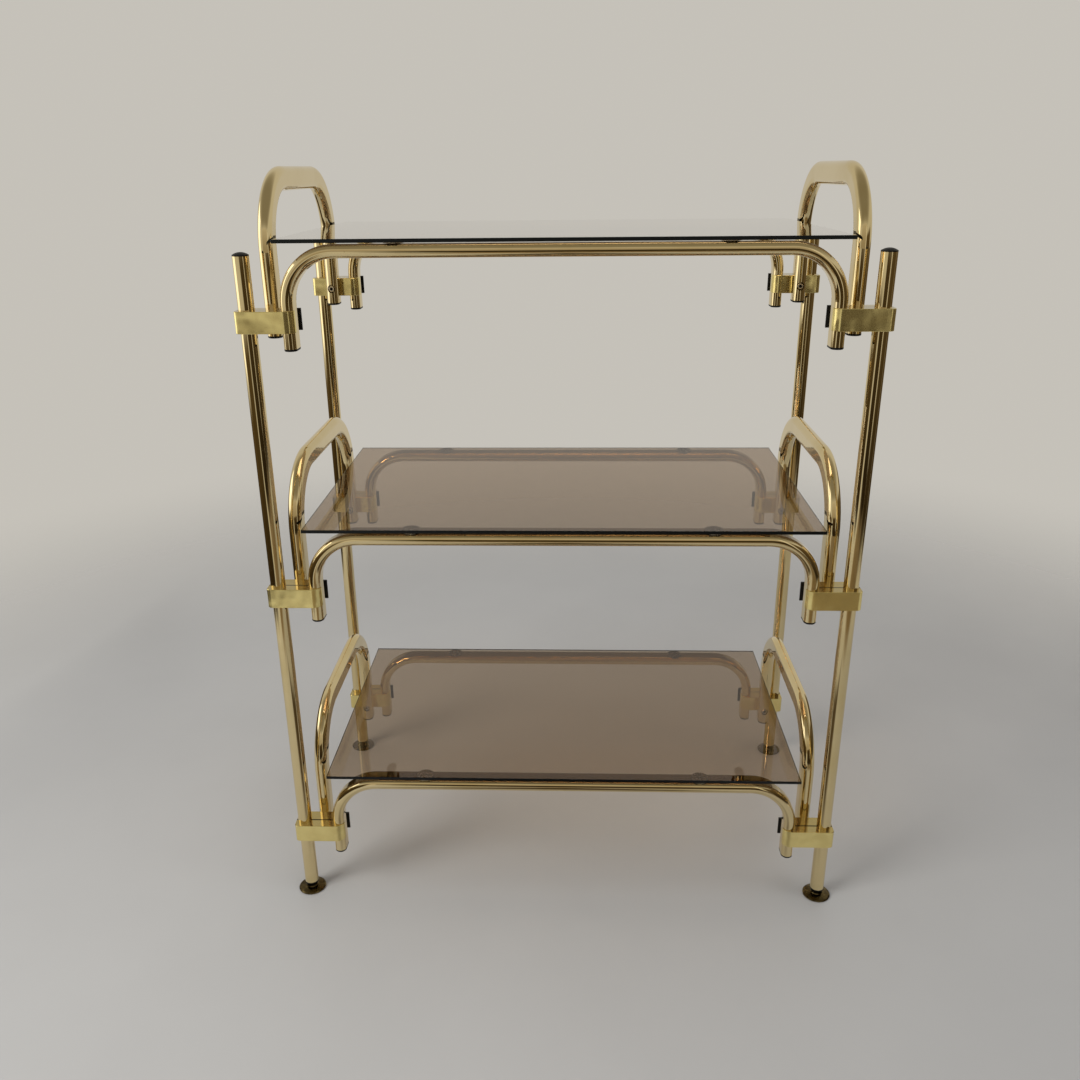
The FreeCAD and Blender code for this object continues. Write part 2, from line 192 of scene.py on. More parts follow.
class Graph:
    """Node tree of one material or of the world."""

    def __init__(self, tree: bpy.types.NodeTree) -> None:
        """Start from an empty tree.

        Args:
            tree: Node tree to build in.
        """
        self.tree = tree
        self.tree.nodes.clear()

    def add(
        self,
        kind: str,
        settings: dict[str, object] | None = None,
        sockets: dict[str | int, object] | None = None,
        output: str | int = 0,
    ) -> Signal:
        """Add one node, set it up and link it.

        Args:
            kind: Type of the node.
            settings: Properties of the node.
            sockets: Values or signals for the node's inputs, by name or number.
            output: Output socket to return, by name or number.

        Returns:
            The chosen output, or one with no socket where the node has no outputs.
        """
        node = self.tree.nodes.new(kind)
        for name, value in (settings or {}).items():
            setattr(node, name, value)
        for key, value in (sockets or {}).items():
            if isinstance(value, Signal):
                self.tree.links.new(value.socket, node.inputs[key])
            elif isinstance(value, tuple) and node.inputs[key].type == "RGBA":
                node.inputs[key].default_value = (*value, 1.0)
            else:
                node.inputs[key].default_value = value
        return Signal(self, node.outputs[output] if node.outputs else None)

    def mix(self, first: Paint, second: Paint, share: Value) -> Signal:
        """Blend two colours.

        Args:
            first: Colour where share is 0.
            second: Colour where share is 1.
            share: How much of the second colour shows.

        Returns:
            The blended colour.
        """
        sockets = {MixSocket.FACTOR: share, MixSocket.FIRST: first, MixSocket.SECOND: second}
        return self.add("ShaderNodeMix", {"data_type": "RGBA"}, sockets, MixSocket.RESULT)

    def place(self, kind: Coordinates = Coordinates.OBJECT) -> Signal:
        """Coordinates of the shaded point."""
        return self.add("ShaderNodeTexCoord", output=kind.value)

    def axis(self, vector: Signal, name: str) -> Signal:
        """One component of a vector, by its letter."""
        return self.add("ShaderNodeSeparateXYZ", sockets={0: vector}, output=name)

    def facing_up(self, slopes: Range) -> Signal:
        """1 where the surface faces up, eased between two heights of its normal."""
        return self.axis(self.place(Coordinates.NORMAL), "Z").step(*slopes)

    def ray(self, kind: Ray) -> Signal:
        """1 for rays of one kind and 0 for the others."""
        return self.add("ShaderNodeLightPath", output=kind.value)

    def noise(self, scale: float, detail: float, roughness: float, stretch: Triple) -> Signal:
        """Cloudy value from 0 to 1 that is fixed to the object.

        Args:
            scale: Clouds per metre.
            detail: Number of finer layers.
            roughness: Strength of the finer layers.
            stretch: Factor on each axis; a small one draws the clouds out along it.

        Returns:
            The noise value.
        """
        where = self.add("ShaderNodeVectorMath", {"operation": "MULTIPLY"}, {0: self.place(), 1: stretch})
        sockets = {"Vector": where, "Scale": scale, "Detail": detail, "Roughness": roughness}
        return self.add("ShaderNodeTexNoise", sockets=sockets, output="Fac")

    def specks(self, scale: float, size: float) -> Signal:
        """Sparse small dots.

        Args:
            scale: Cells per metre; each cell may hold one dot.
            size: Radius of a dot as a share of its cell.

        Returns:
            1 inside a dot and 0 outside.
        """
        sockets = {"Vector": self.place(), "Scale": scale, "Randomness": 1.0}
        return self.add("ShaderNodeTexVoronoi", sockets=sockets, output="Distance").step(size, size * 0.5)

    def bump(self, height: Signal, strength: float, distance: float) -> Signal:
        """Normal of a surface that a height roughens.

        Args:
            height: Height from 0 to 1.
            strength: Share of the effect, from 0 to 1.
            distance: Height in metres that 1 stands for.

        Returns:
            The changed normal.
        """
        sockets = {"Strength": strength, "Distance": distance, "Height": height}
        return self.add("ShaderNodeBump", sockets=sockets, output="Normal")

    def principled(self, **sockets: object) -> Signal:
        """Add a principled surface.

        Args:
            sockets: Values or signals by the input's name, with an underscore for each space.

        Returns:
            The surface shader.
        """
        named = {name.replace("_", " "): value for name, value in sockets.items()}
        return self.add("ShaderNodeBsdfPrincipled", sockets=named)


@dataclass(frozen=True)
class Finish:
    """Base of the surface finishes."""

    name: str

    def surface(self, graph: Graph) -> Signal:
        """Build the surface shader.

        Args:
            graph: Graph to build in.

        Returns:
            The surface shader.
        """
        raise NotImplementedError

    def volume(self, graph: Graph) -> Signal | None:
        """Build the shader of what is inside the surface, where there is one.

        Args:
            graph: Graph to build in.

        Returns:
            The volume shader, or none where the finish has no inside.
        """
        return None

    def material(self) -> bpy.types.Material:
        """Make a material with this finish.

        Returns:
            The new material.
        """
        made = bpy.data.materials.new(self.name)
        made.use_nodes = True
        graph = Graph(made.node_tree)
        sockets = {"Surface": self.surface(graph)}
        inside = self.volume(graph)
        if inside is not None:
            sockets["Volume"] = inside
        graph.add("ShaderNodeOutputMaterial", sockets=sockets)
        return made


@dataclass(frozen=True)
class Noise:
    """Cloudy noise of a finish, fixed to the object."""

    scale: float
    detail: float = 2.0
    roughness: float = 0.5
    stretch: Triple = (1.0, 1.0, 1.0)

    def on(self, graph: Graph) -> Signal:
        """Add the noise to a graph."""
        return graph.noise(self.scale, self.detail, self.roughness, self.stretch)


@dataclass(frozen=True)
class Patches:
    """Soft patches: noise eased from 0 to 1 between two of its levels."""

    noise: Noise
    low: float
    high: float

    def on(self, graph: Graph) -> Signal:
        """Add the patches to a graph."""
        return self.noise.on(graph).step(self.low, self.high)


@dataclass(frozen=True)
class Relief:
    """Small bumps and hollows that tip the light and leave the shape as it is."""

    noise: Noise
    strength: float
    depth: float

    def on(self, graph: Graph, share: Value | None = None) -> Signal:
        """Add the relief to a graph.

        Args:
            graph: Graph to build in.
            share: How much of the relief shows; all of it where none is given.

        Returns:
            The changed normal.
        """
        height = self.noise.on(graph)
        if share is not None:
            height = height * share
        return graph.bump(height, self.strength, self.depth)


@dataclass(frozen=True)
class PolishedPlate(Finish):
    """Bright brass plating on tube, wavy and lightly smudged, with painted shade on top where glass
    covers it.
    """

    clean: Colour = (0.80, 0.66, 0.37)
    aged: Colour = (0.66, 0.51, 0.22)
    aged_share: float = 0.55
    pit: Colour = (0.16, 0.10, 0.04)
    pit_share: float = 0.7
    pit_cells: float = 120.0
    pit_size: float = 0.11
    pit_roughness: float = 0.15
    gloss: float = 0.05
    smudge: float = 0.07
    covered: float = 0.0
    dulled: Colour = (0.17, 0.125, 0.06)
    dulled_slopes: Range = (0.62, 0.90)
    age: Patches = Patches(Noise(9.0, 4.0, 0.6), 0.42, 0.78)
    pitted: Patches = Patches(Noise(14.0), 0.62, 0.75)
    hands: Patches = Patches(Noise(34.0), 0.50, 0.80)
    waves: Relief = Relief(Noise(14.0, 1.0, 0.4), 0.30, 0.0005)

    def surface(self, graph: Graph) -> Signal:
        """Plating with age in soft patches, fine pits, smudges and a wavy polish.

        Args:
            graph: Graph to build in.

        Returns:
            The surface shader.
        """
        pits = graph.specks(self.pit_cells, self.pit_size) * self.pitted.on(graph)
        colour = graph.mix(self.clean, self.aged, self.age.on(graph) * self.aged_share)
        colour = graph.mix(colour, self.pit, pits * self.pit_share)
        # painted shade: top faces turn darker where the glass lies over them
        if self.covered:
            colour = graph.mix(colour, self.dulled, graph.facing_up(self.dulled_slopes) * self.covered)
        return graph.principled(
            Base_Color=colour,
            Metallic=1.0,
            Roughness=self.gloss + self.smudge * self.hands.on(graph) + self.pit_roughness * pits,
            Normal=self.waves.on(graph),
        )


@dataclass(frozen=True)
class SatinCasting(Finish):
    """Satin plated casting whose top face is polished like the tubes."""

    wall: Colour = (0.90, 0.76, 0.32)
    worn: Colour = (0.62, 0.48, 0.18)
    polished: Colour = (0.50, 0.40, 0.17)
    grime: Colour = (0.012, 0.008, 0.004)
    seam: float = 212.0 * MILLIMETRE
    seam_reach: float = 1.6 * MILLIMETRE
    plating: float = 0.95
    wall_roughness: float = 0.13
    top_roughness: float = 0.09
    mottled_roughness: float = 0.06
    rubbed_gloss: float = 0.04
    mottled_wear: float = 0.40
    rubbed_wear: float = 0.20
    top_slopes: Range = (0.80, 0.97)
    top_polish: float = 0.8
    mottle: Patches = Patches(Noise(44.0), 0.34, 0.72)
    rubs: Patches = Patches(Noise(150.0, 3.0, 0.5, (0.35, 0.35, 1.6)), 0.58, 0.80)
    dents: Relief = Relief(Noise(40.0, 1.0, 0.4), 0.60, 0.0014)

    def surface(self, graph: Graph) -> Signal:
        """Mottled satin walls with shallow dents, a mirror-like top and a line of painted shade along the
        seam.

        Args:
            graph: Graph to build in.

        Returns:
            The surface shader.
        """
        top = graph.facing_up(self.top_slopes)
        mottle = self.mottle.on(graph)
        rubs = self.rubs.on(graph)
        wall = graph.mix(self.wall, self.worn, mottle * self.mottled_wear + rubs * self.rubbed_wear)
        plate = graph.mix(self.polished, self.worn, mottle * self.mottled_wear)
        # painted shade: a near-black line along the seam between the two jaws
        off_seam = abs(abs(graph.axis(graph.place(), "Y")) - self.seam)
        seam = off_seam.step(self.seam_reach, self.seam_reach / 2)
        wall_roughness = self.wall_roughness - self.rubbed_gloss * rubs + self.mottled_roughness * mottle
        top_roughness = self.top_roughness + self.mottled_roughness * mottle
        return graph.principled(
            Base_Color=graph.mix(graph.mix(wall, plate, top), self.grime, seam),
            Metallic=self.plating,
            Roughness=wall_roughness * (1.0 - top) + top_roughness * top,
            Normal=self.dents.on(graph, 1.0 - self.top_polish * top),
        )


@dataclass(frozen=True)
class SmokedGlass(Finish):
    """Grey-brown float glass: clear faces, and near black where the eye looks along the sheet."""

    tint: Colour = (0.50, 0.318, 0.086)
    density: float = 220.0
    shadow_density: float = 60.0
    film: float = 0.004
    shine: float = 0.0
    bending: float = 1.5
    edge: Colour = (0.003, 0.004, 0.004)
    edge_roughness: float = 0.25
    edge_shine: float = 0.25
    face_slopes: Range = (0.55, 0.85)
    wipes: Patches = Patches(Noise(26.0, 5.0, 0.65, (1.0, 2.4, 1.0)), 0.55, 0.85)

    def surface(self, graph: Graph) -> Signal:
        """Clear faces with faint wipe marks, black ground edges, and a way through for shadow rays.

        Args:
            graph: Graph to build in.

        Returns:
            The surface shader.
        """
        glass = graph.principled(
            Base_Color=(1.0, 1.0, 1.0),
            Roughness=self.film * self.wipes.on(graph),
            IOR=self.bending,
            Transmission_Weight=1.0,
            Coat_Weight=self.shine,
        )
        edge = graph.principled(
            Base_Color=self.edge, Roughness=self.edge_roughness, Specular_IOR_Level=self.edge_shine
        )
        face = (graph.axis(graph.place(Coordinates.NORMAL), "Z") ** 2.0).step(*self.face_slopes)
        sheet = graph.add("ShaderNodeMixShader", sockets={0: face, 1: edge, 2: glass})
        clear = graph.add("ShaderNodeBsdfTransparent")
        return graph.add("ShaderNodeMixShader", sockets={0: graph.ray(Ray.SHADOW), 1: sheet, 2: clear})

    def volume(self, graph: Graph) -> Signal:
        """Smoke tint that grows with the way through the glass, weaker for the shadows.

        Args:
            graph: Graph to build in.

        Returns:
            The volume shader.
        """
        seen, shade = (
            graph.add("ShaderNodeVolumeAbsorption", sockets={"Color": self.tint, "Density": density})
            for density in (self.density, self.shadow_density)
        )
        return graph.add("ShaderNodeMixShader", sockets={0: graph.ray(Ray.SHADOW), 1: seen, 2: shade})


@dataclass(frozen=True)
class MouldedPlastic(Finish):
    """Matt black moulded plastic with a little dust."""

    base: Colour = (0.003, 0.003, 0.003)
    dust: Colour = (0.020, 0.019, 0.017)
    dust_all_over: float = 0.15
    dust_on_top: float = 0.55
    roughness: float = 0.40
    dust_roughness: float = 0.22
    shine: float = 0.22
    top_slopes: Range = (0.5, 1.0)
    settled: Patches = Patches(Noise(420.0, 4.0, 0.7), 0.45, 0.85)
    grain: Relief = Relief(Noise(3200.0), 0.35, 0.00006)

    def surface(self, graph: Graph) -> Signal:
        """Fine moulded grain, and dust on what faces up.

        Args:
            graph: Graph to build in.

        Returns:
            The surface shader.
        """
        settled = self.settled.on(graph)
        dust = settled * (self.dust_all_over + self.dust_on_top * graph.facing_up(self.top_slopes))
        return graph.principled(
            Base_Color=graph.mix(self.base, self.dust, dust),
            Roughness=self.roughness + self.dust_roughness * settled,
            Specular_IOR_Level=self.shine,
            Normal=self.grain.on(graph),
        )


@dataclass(frozen=True)
class ClearRubber(Finish):
    """Soft clear plastic of the glass pads, gone a little cloudy and brown."""

    base: Colour = (0.46, 0.38, 0.25)
    cloudy: Colour = (0.30, 0.24, 0.15)
    roughness: float = 0.14
    cloudy_roughness: float = 0.22
    bending: float = 1.45
    clearness: float = 0.80
    haze: Noise = Noise(240.0, 3.0, 0.6)

    def surface(self, graph: Graph) -> Signal:
        """Cloudy clear plastic.

        Args:
            graph: Graph to build in.

        Returns:
            The surface shader.
        """
        haze = self.haze.on(graph)
        return graph.principled(
            Base_Color=graph.mix(self.base, self.cloudy, haze),
            Roughness=self.roughness + self.cloudy_roughness * haze,
            IOR=self.bending,
            Transmission_Weight=self.clearness,
        )


@dataclass(frozen=True)
class DarkBronze(Finish):
    """Dark bronze plate of the feet, rubbed brighter on the dish, brighter on the rim from wear and a
    painted highlight, with a black hub.
    """

    base: Colour = (0.034, 0.025, 0.011)
    rubbed: Colour = (0.34, 0.25, 0.10)
    hub: Colour = (0.006, 0.005, 0.003)
    rim_top: float = 2.2 * MILLIMETRE
    hub_foot: float = 6.2 * MILLIMETRE
    fade: float = MILLIMETRE
    rubbed_all_over: float = 0.12
    rubbed_dish: float = 0.34
    rubbed_rim: float = 0.30
    roughness: float = 0.16
    patch_roughness: float = 0.16
    patches: Patches = Patches(Noise(140.0, 4.0, 0.6), 0.35, 0.75)
    turning: Relief = Relief(Noise(700.0, 3.0, 0.6), 0.25, 0.00008)

    def surface(self, graph: Graph) -> Signal:
        """Rubbed dish with turning marks round a black hub.

        Args:
            graph: Graph to build in.

        Returns:
            The surface shader.
        """
        height = graph.axis(graph.place(), "Z")
        rim = height.step(self.rim_top + self.fade, self.rim_top)
        hub = height.step(self.hub_foot, self.hub_foot + self.fade)
        patches = self.patches.on(graph)
        # the rim's brightening is part wear and part painted highlight
        wear = (self.rubbed_dish + self.rubbed_rim * rim) * patches + self.rubbed_all_over
        return graph.principled(
            Base_Color=graph.mix(graph.mix(self.base, self.rubbed, wear), self.hub, hub),
            Metallic=1.0,
            Roughness=self.roughness + self.patch_roughness * patches,
            Normal=self.turning.on(graph),
        )


@dataclass(frozen=True)
class MachinedSteel(Finish):
    """Steel of screws and stems, darker or brighter by its plating."""

    base: Colour = (0.35, 0.33, 0.30)
    stained: Colour = (0.20, 0.17, 0.13)
    roughness: float = 0.28
    stain_roughness: float = 0.15
    stains: Patches = Patches(Noise(320.0, 4.0, 0.6), 0.40, 0.75)
    marks: Relief = Relief(Noise(1500.0, 2.0, 0.6), 0.20, 0.00005)

    def colour(self, graph: Graph, stain: Signal) -> Signal:
        """Colour of the steel with its stains."""
        return graph.mix(self.base, self.stained, stain)

    def surface(self, graph: Graph) -> Signal:
        """Plated steel with stains and fine machining marks.

        Args:
            graph: Graph to build in.

        Returns:
            The surface shader.
        """
        stain = self.stains.on(graph)
        return graph.principled(
            Base_Color=self.colour(graph, stain),
            Metallic=1.0,
            Roughness=self.roughness + self.stain_roughness * stain,
            Normal=self.marks.on(graph),
        )


@dataclass(frozen=True)
class ScrewSteel(MachinedSteel):
    """Steel of the clamp screws, with painted shade in the socket and round the sunk side of the head."""

    grime: Colour = (0.020, 0.015, 0.010)
    face: float = 159.5 * MILLIMETRE
    bare: float = 0.4 * MILLIMETRE
    fade: float = 0.8 * MILLIMETRE

    def colour(self, graph: Graph, stain: Signal) -> Signal:
        """Steel on the face of the head, painted shade past it.

        Args:
            graph: Graph to build in.
            stain: How stained the steel is.

        Returns:
            The colour.
        """
        # painted shade: darker where the head sinks into the socket and the dimple
        depth = abs(graph.axis(graph.place(), "Y")) - self.face
        sunk = depth.step(self.bare, self.bare + self.fade)
        return graph.mix(super().colour(graph, stain), self.grime, sunk)


@dataclass(frozen=True)
class FloorPaint(Finish):
    """Plain pale floor that fades into the backdrop away from the piece."""

    base: Colour = (0.350, 0.345, 0.335)
    cloud: Colour = (0.310, 0.305, 0.295)
    roughness: float = 0.42
    cloud_roughness: float = 0.12
    near_shade: Colour = (0.045, 0.030, 0.014)
    near_width: Range = (0.60, 0.38)
    near_taper: float = 0.5
    near_start: Range = (0.25, 0.42)
    far_shade: Colour = (0.160, 0.115, 0.062)
    far_start: Range = (1.0, 1.3)
    far_left: Range = (-0.6, -0.3)
    fade: Range = (1.0, 2.6)
    clouds: Noise = Noise(2.2, 4.0, 0.55)
    grain: Relief = Relief(Noise(160.0, 3.0, 0.6), 0.10, 0.0004)

    def surface(self, graph: Graph) -> Signal:
        """Pale matt floor that is gone at the edge; the metal mirrors two patches of painted shade that
        only its reflections show.

        Args:
            graph: Graph to build in.

        Returns:
            The surface shader.
        """
        where = graph.place()
        right = graph.axis(where, "X")
        ahead = 0.0 - graph.axis(where, "Y")
        # painted shade seen only in reflections: a dark patch in front of the piece and a dimmer one
        # further ahead
        mirrored = graph.ray(Ray.GLOSSY)
        near = (abs(right) + self.near_taper * ahead).step(*self.near_width)
        near = near * ahead.step(*self.near_start) * mirrored
        far = ahead.step(*self.far_start) * right.step(*self.far_left) * mirrored
        clouds = self.clouds.on(graph)
        tone = graph.mix(graph.mix(self.base, self.cloud, clouds), self.near_shade, near)
        paint = graph.principled(
            Base_Color=graph.mix(tone, self.far_shade, far),
            Roughness=self.roughness + self.cloud_roughness * clouds,
            Normal=self.grain.on(graph),
        )
        reach = (right ** 2.0 + ahead ** 2.0) ** 0.5
        gone = graph.add("ShaderNodeBsdfTransparent")
        fade = reach.step(*self.fade) * (1.0 - far)
        return graph.add("ShaderNodeMixShader", sockets={0: fade, 1: paint, 2: gone})


@dataclass(frozen=True)
class SoftGlow(Finish):
    """Tone of a panel that only reflections show, with edges that fade away."""

    width: float
    height: float
    foot: Colour
    head: Colour
    softness: float

    def surface(self, graph: Graph) -> Signal:
        """Glow that shades from the foot's tone to the head's and fades at all four edges.

        Args:
            graph: Graph to build in.

        Returns:
            The surface shader.
        """
        where = graph.place()
        across = graph.axis(where, "X") * (2.0 / self.width)
        along = graph.axis(where, "Y") * (2.0 / self.height)
        solid = (1.0 - self.softness) ** 2.0
        inside = (across ** 2.0).step(1.0, solid) * (along ** 2.0).step(1.0, solid)
        tone = graph.mix(self.foot, self.head, along * 0.5 + 0.5)
        glow = graph.add("ShaderNodeEmission", sockets={"Color": tone, "Strength": 1.0})
        gone = graph.add("ShaderNodeBsdfTransparent")
        return graph.add("ShaderNodeMixShader", sockets={0: inside, 1: gone, 2: glow})


@dataclass
class Palette:
    """Materials that the pieces share, each made once."""

    tube: bpy.types.Material = field(default_factory=PolishedPlate("polished_tube_plate").material)
    rail: bpy.types.Material = field(
        default_factory=PolishedPlate("polished_rail_plate", covered=0.85).material
    )
    jaw: bpy.types.Material = field(default_factory=SatinCasting("satin_jaw_plate").material)
    glass: bpy.types.Material = field(default_factory=SmokedGlass("smoked_shelf_glass").material)
    top_glass: bpy.types.Material = field(
        default_factory=SmokedGlass("smoked_top_glass", shine=1.0).material
    )
    plastic: bpy.types.Material = field(default_factory=MouldedPlastic("black_plug_plastic").material)
    pad: bpy.types.Material = field(default_factory=ClearRubber("clear_pad_plastic").material)
    foot: bpy.types.Material = field(default_factory=DarkBronze("foot_bronze").material)
    stem: bpy.types.Material = field(default_factory=MachinedSteel("stem_steel").material)
    screw: bpy.types.Material = field(
        default_factory=ScrewSteel(
            "screw_steel", base=(0.72, 0.63, 0.46), stained=(0.48, 0.40, 0.27), roughness=0.20
        ).material
    )


def dress(node: str, material: bpy.types.Material) -> str:
    """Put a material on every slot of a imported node.

    Args:
        node: Name of the node.
        material: Material to show.

    Returns:
        The node's name.
    """
    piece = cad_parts[node]
    if not piece.material_slots:
        piece.data.materials.append(material)
    for place in piece.material_slots:
        place.material = material
    return node


def new_piece(name: str, shape: bmesh.types.BMesh, material: bpy.types.Material) -> bpy.types.Object:
    """Turn a built shape into a mesh object in the scene.

    Args:
        name: Name of the object.
        shape: Shape to take over; it is freed.
        material: Material of the object.

    Returns:
        The new object.
    """
    mesh = bpy.data.meshes.new(name)
    bmesh.ops.recalc_face_normals(shape, faces=shape.faces)
    shape.to_mesh(mesh)
    shape.free()
    mesh.materials.append(material)
    piece = bpy.data.objects.new(name, mesh)
    bpy.context.scene.collection.objects.link(piece)
    return piece


@dataclass
class CornerPost:
    """One corner: an upright tube on a levelling foot with a threaded stem."""

    side: Side
    depth: Depth
    palette: Palette
    pitch: float = 1.25 * MILLIMETRE
    thread_depth: float = 0.68 * MILLIMETRE
    plain_end: float = 9.6 * MILLIMETRE
    tip_chamfer: float = 0.8 * MILLIMETRE
    sides: int = 40
    rings_per_turn: int = 6

    @property
    def corner(self) -> str:
        """The corner's name as the nodes spell it."""
        return f"{self.depth.word}_{self.side.word}"

    def dress(self) -> Iterator[str]:
        """Dress the corner's nodes and replace its stem.

        Returns:
            The names of the pieces, one after another.
        """
        yield dress(f"upright_{self.corner}", self.palette.tube)
        yield dress(f"foot_disc_{self.corner}", self.palette.foot)
        yield self.threaded_stem().name

    def _radius(self, height: float, turn: float, low: float, high: float, full: float) -> float:
        """Radius of the stem's skin at one point.

        Args:
            height: Height of the point.
            turn: Place round the stem, from 0 to 1.
            low: Height of the stem's lower end.
            high: Height of its tip.
            full: Radius over the thread's crests.

        Returns:
            The radius, with the thread cut in above the plain end.
        """
        along = (height - low) / self.pitch - turn
        groove = abs(2.0 * (along - math.floor(along)) - 1.0)
        cut = min(1.0, max(0.0, (height - low - self.plain_end) / self.pitch))
        tip = max(0.0, self.tip_chamfer - (high - height))
        return min(full - self.thread_depth * groove * cut, full - tip)

    def threaded_stem(self) -> bpy.types.Object:
        """Build the stem with its helical thread in the place of the plain node.

        Returns:
            The new stem.
        """
        node = f"foot_stem_{self.corner}"
        low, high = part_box(node)
        centre = (low + high) / 2
        full = (high.x - low.x) / 2
        shape = bmesh.new()
        rings = math.ceil((high.z - low.z) / self.pitch * self.rings_per_turn)
        grid = []
        for ring in range(rings + 1):
            height = low.z + (high.z - low.z) * ring / rings
            row = []
            for step in range(self.sides):
                turn = step / self.sides
                radius = self._radius(height, turn, low.z, high.z, full)
                angle = math.tau * turn
                row.append(shape.verts.new((
                    centre.x + radius * math.cos(angle), centre.y + radius * math.sin(angle), height)))
            grid.append(row)
        for lower, upper in zip(grid, grid[1:]):
            for step in range(self.sides):
                after = (step + 1) % self.sides
                shape.faces.new((lower[step], lower[after], upper[after], upper[step])).smooth = True
        shape.faces.new(list(reversed(grid[0])))
        shape.faces.new(grid[-1])
        stem = new_piece(f"threaded_stem_{self.corner}", shape, self.palette.stem)
        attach(stem, node)
        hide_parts(node)
        return stem


@dataclass
class Shelf:
    """One level: two rails, two hoops and the glass on them."""

    level: Level
    palette: Palette

    def dress(self) -> Iterator[str]:
        """Dress the level's nodes.

        Returns:
            The names of the pieces, one after another.
        """
        for depth in Depth:
            yield dress(f"rail_{self.level.value}_{depth.word}", self.palette.rail)
        for side in Side:
            yield dress(f"hoop_{self.level.value}_{side.word}", self.palette.tube)
        sheet = self.palette.top_glass if self.level is Level.TOP else self.palette.glass
        yield dress(f"glass_{self.level.value}", sheet)


@dataclass
class Clamp:
    """One clamp: the jaws that grip an upright, a hoop leg and a rail leg."""

    level: Level
    side: Side
    depth: Depth
    palette: Palette

    def dress(self) -> Iterator[str]:
        """Dress both jaws.

        Returns:
            The names of the pieces, one after another.
        """
        for jaw in ("outer", "inner"):
            name = f"clamp_{self.level.value}_{self.depth.word}_{self.side.word}_{jaw}_jaw"
            yield dress(name, self.palette.jaw)


@dataclass
class SmallParts:
    """Caps, plugs, pads, strips, screws and foot inserts, each a group of like pieces."""

    palette: Palette

    def dress(self) -> Iterator[str]:
        """Dress the groups.

        Returns:
            The names of the groups, one after another.
        """
        for group in ("upright_caps", "rail_plugs", "hoop_plugs", "clamp_strips", "foot_inserts"):
            yield dress(group, self.palette.plastic)
        yield dress("glass_pads", self.palette.pad)
        yield dress("clamp_screws", self.palette.screw)


@dataclass(frozen=True)
class Softbox:
    """One large soft lamp aimed at the middle of the piece."""

    name: str
    place: Triple
    width: float
    height: float
    watts: float
    tint: Colour = (1.0, 1.0, 1.0)
    target: Triple = (0.0, 0.0, 0.55)

    def hang(self) -> bpy.types.Object:
        """Add the lamp to the scene.

        Returns:
            The lamp.
        """
        light = bpy.data.lights.new(self.name, "AREA")
        light.shape = "RECTANGLE"
        light.size = self.width
        light.size_y = self.height
        light.energy = self.watts
        light.color = self.tint
        lamp = bpy.data.objects.new(self.name, light)
        bpy.context.scene.collection.objects.link(lamp)
        aim = Vector(self.target) - Vector(self.place)
        turn = aim.to_track_quat("-Z", "Y").to_matrix().to_4x4()
        lamp.matrix_world = Matrix.Translation(self.place) @ turn
        lamp.visible_camera = False
        lamp.visible_glossy = False
        return lamp


@dataclass(frozen=True)
class Panel:
    """Flat panel out of view that only shows as a reflection: a window, a dark sofa or a ceiling."""

    name: str
    bearing: float
    distance: float
    width: float
    low: float
    high: float
    foot: Colour
    head: Colour
    softness: float = 0.3

    @property
    def height(self) -> float:
        """Height of an upright panel."""
        return self.high - self.low

    def stand(self) -> Matrix:
        """Place of an upright panel that faces the piece, from its own flat coordinates."""
        angle = math.radians(self.bearing)
        centre = Vector((math.sin(angle), -math.cos(angle), 0.0)) * self.distance
        centre.z = (self.low + self.high) / 2
        upright = Matrix.Rotation(angle, 4, "Z") @ Matrix.Rotation(math.radians(90), 4, "X")
        return Matrix.Translation(centre) @ upright

    def hang(self) -> bpy.types.Object:
        """Add the panel to the scene, seen by reflections alone.

        Returns:
            The panel.
        """
        shape = bmesh.new()
        corners = ((-1, -1), (1, -1), (1, 1), (-1, 1))
        shape.faces.new([
            shape.verts.new((x * self.width / 2, y * self.height / 2, 0.0)) for x, y in corners
        ])
        glow = SoftGlow(f"{self.name}_glow", self.width, self.height, self.foot, self.head, self.softness)
        panel = new_piece(self.name, shape, glow.material())
        panel.matrix_world = self.stand()
        panel.visible_camera = False
        panel.visible_diffuse = False
        panel.visible_transmission = False
        panel.visible_shadow = False
        return panel


@dataclass(frozen=True)
class Ceiling(Panel):
    """Level panel above the piece; its distance is measured forward to its middle."""

    deep: float = 3.2

    @property
    def height(self) -> float:
        """Length of the level panel from front to back."""
        return self.deep

    def stand(self) -> Matrix:
        """Place of the level panel."""
        return Matrix.Translation((0.0, -self.distance, self.high))


